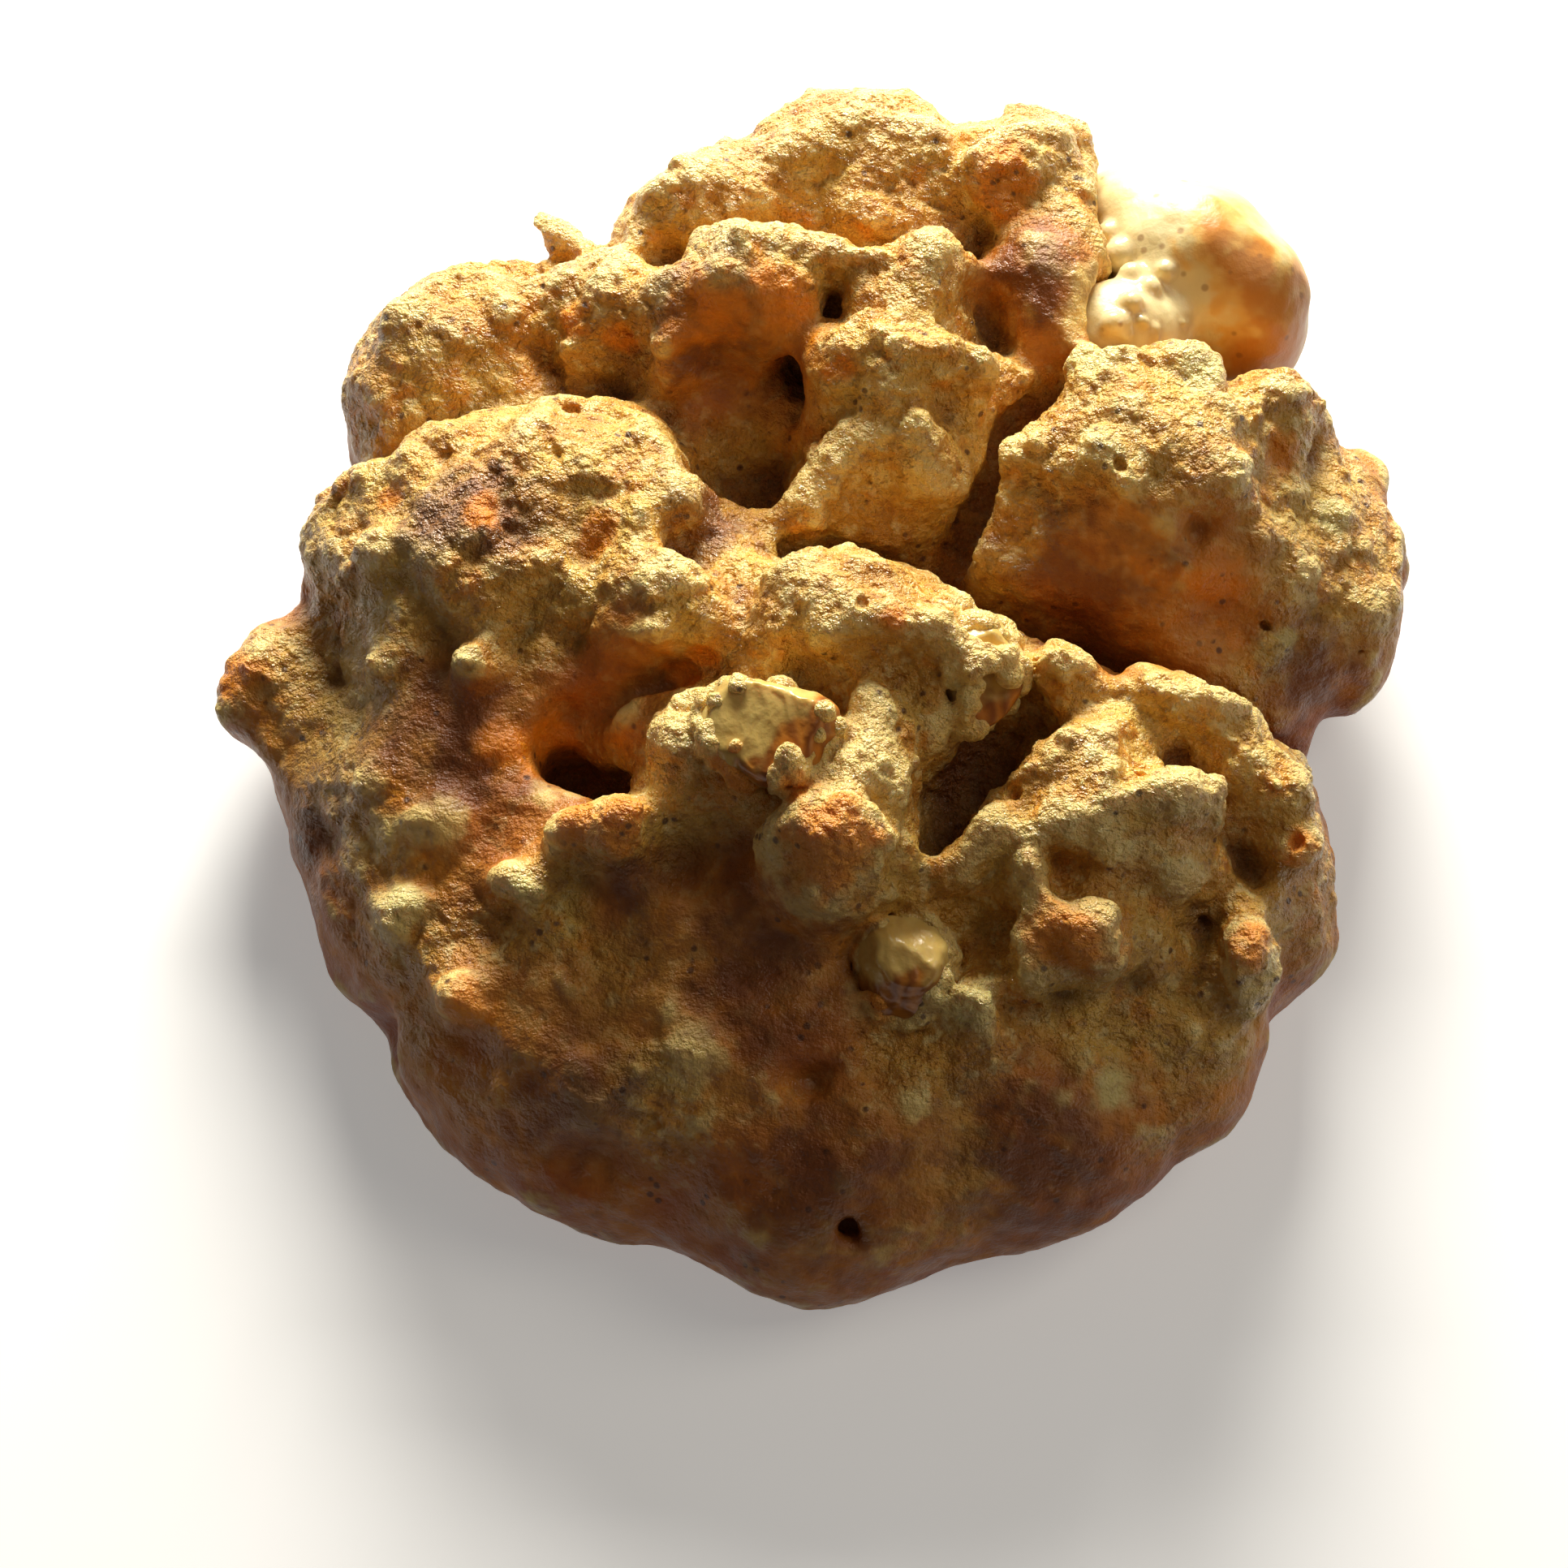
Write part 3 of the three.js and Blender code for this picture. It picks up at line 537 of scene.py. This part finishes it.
# Little swells too small for the solid: across, rise, radius and height.
SWELLS = [
    (0.3, -8.6, 2.6, 1.2),
    (-2.6, -9.4, 2.0, 0.8),
    (-13.2, -8.0, 2.4, 1.0),
    (-16.6, -8.4, 1.6, 0.8),
    (12.4, -9.2, 1.8, 1.0),
    (16.6, -8.2, 2.0, 1.0),
    (20.6, -10.2, 1.8, 0.9),
    (14.2, -12.6, 1.8, 1.0),
    (18.6, -14.6, 2.4, 1.2),
    (24.0, -5.8, 1.8, 0.9),
    (24.4, -12.0, 1.6, 0.8),
    (28.6, -16.2, 1.8, 1.1),
    (33.0, -10.0, 1.8, 0.8),
    (11.0, -17.6, 1.8, 0.9),
    (-6.0, -3.0, 2.0, 0.8),
    (4.0, -1.6, 2.0, 0.8),
    (-25.0, -8.0, 2.2, 0.8),
    (-30.0, -5.0, 2.4, 0.8),
    (-19.6, -13.0, 1.6, 0.9),
    (-27.4, -14.0, 1.6, 0.9),
    (-23.4, -20.4, 1.8, 0.9),
    (-8.0, -24.0, 2.2, 0.7),
    (6.0, -27.0, 2.2, 0.7),
]


# Sizes in mm across of what roughens the crumb, and how high each stands.
WARP_SIZE = 3.6
PUFF_SIZE, PUFF_HEIGHT = 3.4, 0.44
CLOD_SIZE, CLOD_HEIGHT = 1.6, 0.26
CRUMB_SIZE, CRUMB_HEIGHT = 0.9, 0.17
GRIT_SIZE = 0.55
PORE_SPACING = 4.2
PORE_DRAW = 0.7  # a cell with a random number over this has a pore


def tornness(points):
    """0 on baked skin, 1 where the crumb is torn open."""
    torn = ramp(points[:, 2] + 2.5 * soft_noise(points, 9, 41), SKIN_BELOW, TORN_ABOVE)
    for across, rise, z, reach in SKINS.values():
        apart = np.linalg.norm(points - seen(across, rise, z).astype(np.float32), axis=1)
        apart += 1.6 * soft_noise(points, 4, 43)
        torn = torn * (SKIN_CRUMB + (1 - SKIN_CRUMB) * ramp(apart, 0.55 * reach, reach))
    return torn


def domed(share):
    """Lowest in the middle of a cell and highest between cells, and near 0 on average."""
    return share**2 * 1.7 - 0.4


def crumbled(dough, tree):
    """The dough's grid, warped, with its swells, clumps and pores. The tree holds the solid's surface."""
    smooth = dough.smoothed(0.4)
    index, points = smooth.near(1.9)
    torn = tornness(points)
    warp = np.stack([soft_noise(points, WARP_SIZE, seed) for seed in (3, 5, 7)], 1)
    distance = smooth.at(points + warp * (0.2 + 0.4 * torn)[:, None])

    moved = points + 0.6 * warp
    puff, _ = scattered(moved, PUFF_SIZE, 11)
    clod, _ = scattered(moved, CLOD_SIZE, 13)
    crumb, _ = scattered(points + 0.3 * warp, CRUMB_SIZE, 15)
    loose = (0.2 + torn) * (0.7 + 0.5 * soft_noise(points, 4, 9))
    distance += (0.15 + torn) * PUFF_HEIGHT * domed(puff / PUFF_SIZE)
    distance += loose * CLOD_HEIGHT * domed(clod / CLOD_SIZE)
    distance += loose * CRUMB_HEIGHT * domed(crumb / CRUMB_SIZE)
    distance += (0.08 + 0.08 * torn) * soft_noise(points, 1.2, 17)
    for across, rise, radius, height in SWELLS:
        apart = np.linalg.norm(moved - on_surface(tree, across, rise), axis=1)
        distance -= height * (1 - ramp(apart, 0, 1.6 * radius))

    pore, draw = scattered(moved, PORE_SPACING, 19)
    hole = 0.15 + 0.5 * (draw - PORE_DRAW) / (1 - PORE_DRAW) - pore
    distance = np.maximum(distance, np.where((draw > PORE_DRAW) & (torn > 0.4), hole, -9))
    distance = np.maximum(distance, -points[:, 2])

    values = smooth.values.copy()
    values[index] = distance
    return Grid(values, smooth.corner, smooth.voxel)


# Toasted spots: across, rise and radius.
TOAST = [
    (12.8, 34.5, 2.6),
    (-16.5, 25, 1.6),
    (-13, 24, 1.2),
    (1.6, 22.3, 1.4),
    (31.2, 16.2, 2.0),
    (27, 7.8, 2.2),
    (-28.5, 13, 1.2),
    (-38.8, 1.6, 2.2),
    (-23.4, -20.6, 2.0),
    (17, -16.3, 3.0),
    (0.3, -9.8, 4.2),
    (-13, -7.6, 3.4),
    (-5, -5.0, 2.4),
    (29.5, -17.0, 2.0),
    (4.2, -20.8, 2.0),
    (-16, -8, 2.0),
    (-0.3, -0.3, 1.0),
    (-1.6, -6.8, 1.4),
    (1.4, -6.8, 1.2),
    (5.2, 5.4, 1.0),
    (-7.3, 3.2, 1.4),
    (-22, 12.5, 1.4),
    (-14.4, 10.8, 1.6),
    (32.3, -9.8, 1.4),
    (4.4, -19.4, 1.6),
    (-7, 26, 3.4),
    (-2, 27, 3.0),
    (-8.5, 1.0, 1.6),
    (-20.6, -3.3, 2.2),
    (-18, -2.5, 2.0),
]

# Pale patches and beads.
PALE = [
    (-19.8, -13.0, 1.4),
    (-27.4, -14.1, 1.8),
    (-23.6, 2.4, 1.6),
    (19.8, -26.1, 1.4),
    (10.4, -20.4, 2.2),
    (29.5, -17.4, 1.8),
    (18.8, 17.0, 2.0),
    (18.6, 22.8, 2.4),
    (19.4, 25.4, 1.8),
    (26.0, 22.0, 2.0),
    (34.5, 12.2, 1.2),
    (31.2, 3.3, 1.6),
]

# Darker brown patches: painted shade on faces and hollows that lie in shade, and partly the browning of the
# baked sides.
SHADE_AND_BROWNING = [
    (15.0, 28.5, 4.5),
    (-25, 12, 4.5),
    (-7, 24.5, 5.5),
    (-22, 12.5, 4.5),
    (-7, 12, 4.5),
    (-33.5, -9, 4.0),
    (18, 7.5, 6.5),
    (-24, -3, 6.5),
    (-13, -12, 3.2),
    (-4, -18, 7.0),
    (10, -4.5, 3.0),
    (33, 1.5, 4.5),
    (-16, -27, 6.0),
    (0, -34, 7.0),
    (15, -31, 7.0),
]


def on_surface(tree, across, rise):
    """The point of a mesh that shows at a place in the picture, or None."""
    start = Vector(EYE)
    hit, _, _, _ = tree.ray_cast(start, (Vector(in_picture(across, rise)) - start).normalized())
    return None if hit is None else np.array(hit, np.float32)


def patches(tree, points, places, seed, inner=0.4, outer=1.25):
    """Ragged patches round the places, 1 within the inner share of the radius, 0 beyond the outer."""
    share = np.zeros(len(points), np.float32)
    ragged = rough_noise(points, 1.6, seed, 3, 0.6)
    for across, rise, radius in places:
        centre = on_surface(tree, across, rise)
        if centre is None:
            continue
        apart = np.linalg.norm(points - centre, axis=1) / radius
        share = np.maximum(share, 1 - ramp(apart + 0.4 * ragged, inner, outer))
    return share


def crumbs_on_rims(grid, dough):
    """Balls of crumb round each nut's pocket, over the nut's edge."""
    centres, radii = [], []
    for node, nut in NUTS.items():
        numbers = np.random.default_rng(nut["seed"])
        points, triangles = mesh_arrays(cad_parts[node])
        corners = points[triangles[numbers.integers(len(triangles), size=RIM_TRIES)]]
        shares = numbers.dirichlet((1, 1, 1), RIM_TRIES).astype(np.float32)
        spots = (corners * shares[:, :, None]).sum(1)
        clear = dough.at(spots)
        reach = 0.35 + nut["crumb_reach"] * numbers.uniform(0, 1, RIM_TRIES) ** 2
        on_rim = (clear > RIM_CLEARANCE) & (clear < reach)
        for spot in spots[on_rim][:RIM_COUNT]:
            centres.append(spot + numbers.normal(0, 0.15, 3))
            radii.append(numbers.uniform(*RIM_RADII))
    round_union(grid, centres, radii, RIM_BLEND)


def build_dough(material):
    dough = grid_of(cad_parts["dough"])
    wide = dough.coarser().smoothed(1.6)
    wider = dough.coarser().smoothed(3.2)
    cad_points, cad_triangles = mesh_arrays(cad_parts["dough"])
    grid = crumbled(dough, BVHTree.FromPolygons(cad_points.tolist(), cad_triangles.tolist()))
    crumbs_on_rims(grid, dough)
    points, triangles = grid.mesh()
    points, triangles = largest(points, triangles)
    torn = tornness(points)
    normals = vertex_normals(points, triangles)
    grit, _ = scattered(points, GRIT_SIZE, 29)
    relief = (0.04 + 0.14 * torn) * (0.5 - grit / GRIT_SIZE)
    relief += 0.05 * (0.4 + torn) * soft_noise(points, 0.5, 31)
    standing = ramp(points[:, 2], 0.05, 0.6)
    points = points + normals * (relief * standing)[:, None]
    points[:, 2] = np.maximum(points[:, 2], 0)

    obj = new_piece("cookie_dough", points, triangles, material, "dough")
    tree = BVHTree.FromPolygons(points.tolist(), triangles.tolist())
    bulge = wide.at(points)
    store(obj, "torn", torn)
    # Painted highlight: how far a point stands out on a convex crest, which the material paints paler.
    store(obj, "crest_highlight", ramp(bulge + 0.15 * rough_noise(points, 1.2, 53), 0.05, 0.7))
    # Painted shade: how deep a point lies in a hollow, which the material paints darker.
    store(obj, "hollow_shade", ramp(-0.5 * bulge - 0.5 * wider.at(points), 0.15, 1.2))
    store(obj, "toast", patches(tree, points, TOAST, 61))
    store(obj, "pale", patches(tree, points, PALE, 67))
    # Painted shade, with some baked browning: patches round the listed faces and hollows, which the
    # material paints darker.
    store(obj, "shade_and_browning", patches(tree, points, SHADE_AND_BROWNING, 69, 0.1, 1.2))
    return tree


def largest(points, triangles):
    """The biggest connected part of a mesh."""
    label = np.arange(len(points))
    while True:
        low = label[triangles].min(1)
        before = label.copy()
        for corner in range(3):
            np.minimum.at(label, triangles[:, corner], low)
        label = label[label]
        if np.array_equal(label, before):
            break
    names, counts = np.unique(label, return_counts=True)
    keep = label == names[counts.argmax()]
    new_index = np.cumsum(keep) - 1
    kept = triangles[keep[triangles].all(1)]
    return points[keep], new_index[kept]


# ------------------------------------------------------------------ the pieces in it

# Runs of melt on the chunk: across, rise and radius along each.
MELT = {
    "streak": [
        (23.4, 28.6, 0.6),
        (22.4, 27.4, 0.8),
        (21.2, 26.4, 0.8),
        (20.0, 25.0, 0.9),
        (18.6, 23.6, 0.7),
    ],
    "fold": [(19.6, 31.0, 0.9), (20.4, 29.6, 1.2), (21.2, 28.2, 1.0)],
    "skirt": [(18.0, 22.4, 0.6), (19.0, 22.6, 0.7), (20.4, 23.4, 0.7)],
}
FROTH_MIDDLES = [(21.2, 25.0), (22.8, 24.6), (24.2, 24.2), (20.4, 24.2), (25.0, 23.4)]
FROTH_COUNT = 20
FROTH_RADII = (0.2, 0.42)
CHUNK_VOXEL = 0.2
CHUNK_SWELL = 0.28  # how far the chunk grows, to close the gap round its solid
MELT_MARGIN = 24  # empty voxels round the chunk, for the melt that runs off it
CHUNK_TOAST = [
    (32.0, 23.6, 4.2),
    (31.0, 26.4, 4.0),
    (29.4, 29.0, 3.2),
    (27.0, 31.4, 2.6),
    (29.6, 22.8, 3.6),
]


def round_union(grid, centres, radii, blend):
    """Adds balls to a grid, blended into it."""
    for centre, radius in zip(centres, radii):
        reach = radius + blend + grid.voxel
        first = np.maximum(((centre - reach - grid.corner) / grid.voxel).astype(int), 0)
        last = ((centre + reach - grid.corner) / grid.voxel).astype(int) + 2
        block = grid.values[first[0] : last[0], first[1] : last[1], first[2] : last[2]]
        places = np.stack(np.indices(block.shape), -1) + first
        own = np.linalg.norm(places * grid.voxel + grid.corner - centre, axis=-1) - radius
        overlap = np.maximum(blend - np.abs(block - own), 0) / blend
        block[...] = np.minimum(block, own) - overlap * overlap * blend / 4


def build_chunk(material, dough_tree):
    grid = grid_of(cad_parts["pale_chunk"], CHUNK_VOXEL, MELT_MARGIN).smoothed(0.5)
    index, points = grid.near(1.5)
    grid.values[index] += 0.12 * rough_noise(points, 2.6, 71, 3, 0.5) - CHUNK_SWELL
    first_points, first_triangles = grid.mesh()
    trees = [dough_tree, BVHTree.FromPolygons(first_points.tolist(), first_triangles.tolist())]

    centres, radii = [], []
    for places in MELT.values():
        for across, rise, radius in places:
            centres.append(nearest_hit(trees, across, rise))
            radii.append(radius)
    froth_centres, froth_radii = [], []
    numbers = np.random.default_rng(77)
    for _ in range(FROTH_COUNT):
        across, rise = FROTH_MIDDLES[numbers.integers(len(FROTH_MIDDLES))] + numbers.normal(0, 0.5, 2)
        froth_centres.append(nearest_hit(trees, across, rise))
        froth_radii.append(numbers.uniform(*FROTH_RADII))
    round_union(grid, centres, radii, 0.5)
    round_union(grid, froth_centres, froth_radii, 0.3)

    points, triangles = grid.mesh()
    points, triangles = largest(points, triangles)
    obj = new_piece("pale_chunk_melted", points, triangles, material, "pale_chunk")
    tree = BVHTree.FromPolygons(points.tolist(), triangles.tolist())
    store(obj, "toast", patches(tree, points, CHUNK_TOAST, 73, 0.2, 1.5))
    store(obj, "white", 1 - ramp(gap_to_balls(points, centres, radii), 0.1, 0.8))
    store(obj, "froth", 1 - ramp(gap_to_balls(points, froth_centres, froth_radii), 0.1, 0.8))


def gap_to_balls(points, centres, radii):
    """How far each point is from the nearest ball's surface."""
    return np.min([np.linalg.norm(points - c, axis=1) - r for c, r in zip(centres, radii)], axis=0)


def nearest_hit(trees, across, rise):
    """The point of any of the meshes that shows at a place in the picture."""
    hits = [hit for hit in (on_surface(tree, across, rise) for tree in trees) if hit is not None]
    return min(hits, key=lambda hit: np.linalg.norm(hit - EYE))


def build_nut(node, material):
    nut = NUTS[node]
    seed = nut["seed"]
    grid = grid_of(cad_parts[node], NUT_VOXEL).smoothed(0.25)
    index, points = grid.near(2.0)
    middle = (points.min(0) + points.max(0)) / 2
    facet = np.array(nut["facet"]) / np.linalg.norm(nut["facet"])
    past_facet = (points - middle) @ facet - nut["facet_distance"]
    ridges, _ = scattered(points, NUT_RIDGES, seed)
    values = grid.values[index]
    values += 0.2 * (ridges / NUT_RIDGES - 0.5) + 0.14 * rough_noise(points, 1.2, seed + 2, 2) - NUT_SWELL
    grid.values[index] = np.maximum(values, past_facet + 0.08 * soft_noise(points, 1.0, seed + 4))
    points, triangles = grid.mesh()
    points, triangles = largest(points, triangles)
    obj = new_piece(node + "_broken", points, triangles, material, node)
    low, high = points.min(0), points.max(0)
    place = (2 * points - low - high) / (high - low)
    side = place @ np.array(nut["skin"]) + 0.35 * rough_noise(points, 1.6, seed + 5)
    store(obj, "skin", ramp(side, nut["skin_start"], nut["skin_start"] + 0.3))


# ------------------------------------------------------------------ floor, lights and camera

def floor_material():
    material, make = new_material("pale_floor")
    place = make("ShaderNodeTexCoord").outputs["Object"]
    tone = mixed(make, noise_of(make, place, 30), srgb(246, 246, 244), srgb(250, 250, 249))
    inputs = {"Base Color": tone, "Roughness": 0.9, "Emission Color": tone, "Emission Strength": 0.3}
    shader = make("ShaderNodeBsdfPrincipled", inputs)
    make("ShaderNodeOutputMaterial", {"Surface": shader.outputs[0]})
    return material


def build_floor():
    bpy.ops.mesh.primitive_grid_add(x_subdivisions=8, y_subdivisions=8, size=6)
    floor = bpy.context.object
    floor.name = "floor"
    floor.location.z = -0.0001
    floor.data.materials.append(floor_material())
    floor.visible_diffuse = False


def add_light(name, place, size, power, colour):
    light = bpy.data.lights.new(name, "AREA")
    light.shape = "RECTANGLE"
    light.size, light.size_y = (side * MM for side in size)
    light.energy = power
    light.color = colour
    obj = bpy.data.objects.new(name, light)
    bpy.context.scene.collection.objects.link(obj)
    obj.location = Vector(place) * MM
    direction = Vector(LIGHT_AIM) - Vector(place)
    obj.rotation_euler = direction.to_track_quat("-Z", "Y").to_euler()


# Each light: place, size, power in watts and colour. Both look at the cookie's middle.
LIGHTS = {
    "window": ((5, 310, 155), (190, 130), 2.95, (1.0, 0.96, 0.88)),
    "side_window": ((330, 70, 380), (260, 260), 0.46, (1.0, 0.9, 0.78)),
}
LIGHT_AIM = (0, 0, 12)
ROOM_COLOUR = (1.0, 0.86, 0.72, 1.0)
ROOM_STRENGTH = 0.075


def light_scene():
    for name, (place, size, power, colour) in LIGHTS.items():
        add_light(name, place, size, power, colour)
    world = bpy.data.worlds.new("room")
    world.use_nodes = True
    background = world.node_tree.nodes["Background"]
    background.inputs["Color"].default_value = ROOM_COLOUR
    background.inputs["Strength"].default_value = ROOM_STRENGTH
    bpy.context.scene.world = world
    bpy.context.scene.view_settings.view_transform = "Standard"


def place_camera():
    camera = bpy.data.cameras.new("camera")
    camera.sensor_width = SENSOR_WIDTH
    camera.lens = SENSOR_WIDTH * VIEW_DISTANCE / PICTURE_WIDTH
    camera.clip_end = 10
    obj = bpy.data.objects.new("camera", camera)
    bpy.context.scene.collection.objects.link(obj)
    obj.location = Vector(EYE) * MM
    obj.rotation_euler = Vector(-VIEW_BACK).to_track_quat("-Z", "Y").to_euler()
    bpy.context.scene.camera = obj


# ------------------------------------------------------------------ the whole

place_camera()
light_scene()
build_floor()
dough_tree = build_dough(dough_material())
build_chunk(chunk_material(), dough_tree)
walnut = nut_material()
for nut in NUTS:
    build_nut(nut, walnut)
